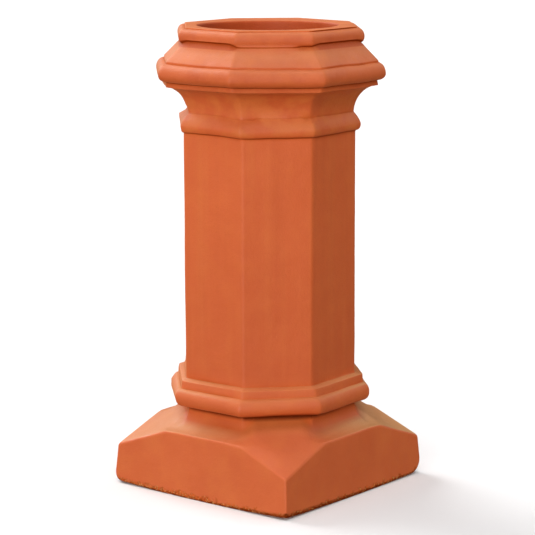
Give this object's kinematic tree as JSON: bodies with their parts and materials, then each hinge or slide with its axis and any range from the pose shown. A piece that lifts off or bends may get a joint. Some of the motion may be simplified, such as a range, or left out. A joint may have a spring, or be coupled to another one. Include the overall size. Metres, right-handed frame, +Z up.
{
  "type": "chimney pot",
  "caption": "Octagonal clay chimney pot: moulded head and base mouldings on a hollow square foot with sloped corners, open right through by a round flue.",
  "frame": {"origin": "middle of the underside of the square foot, on the flue's axis", "axes": "+Z up along the flue, X and Y square to the sides of the foot"},
  "size_m": [0.3684, 0.3684, 0.762],
  "materials": {
    "fired_clay": "matt unglazed terracotta"
  },
  "bodies": {
    "root": {"chimney_pot": "fired_clay"}
  },
  "joints": []
}
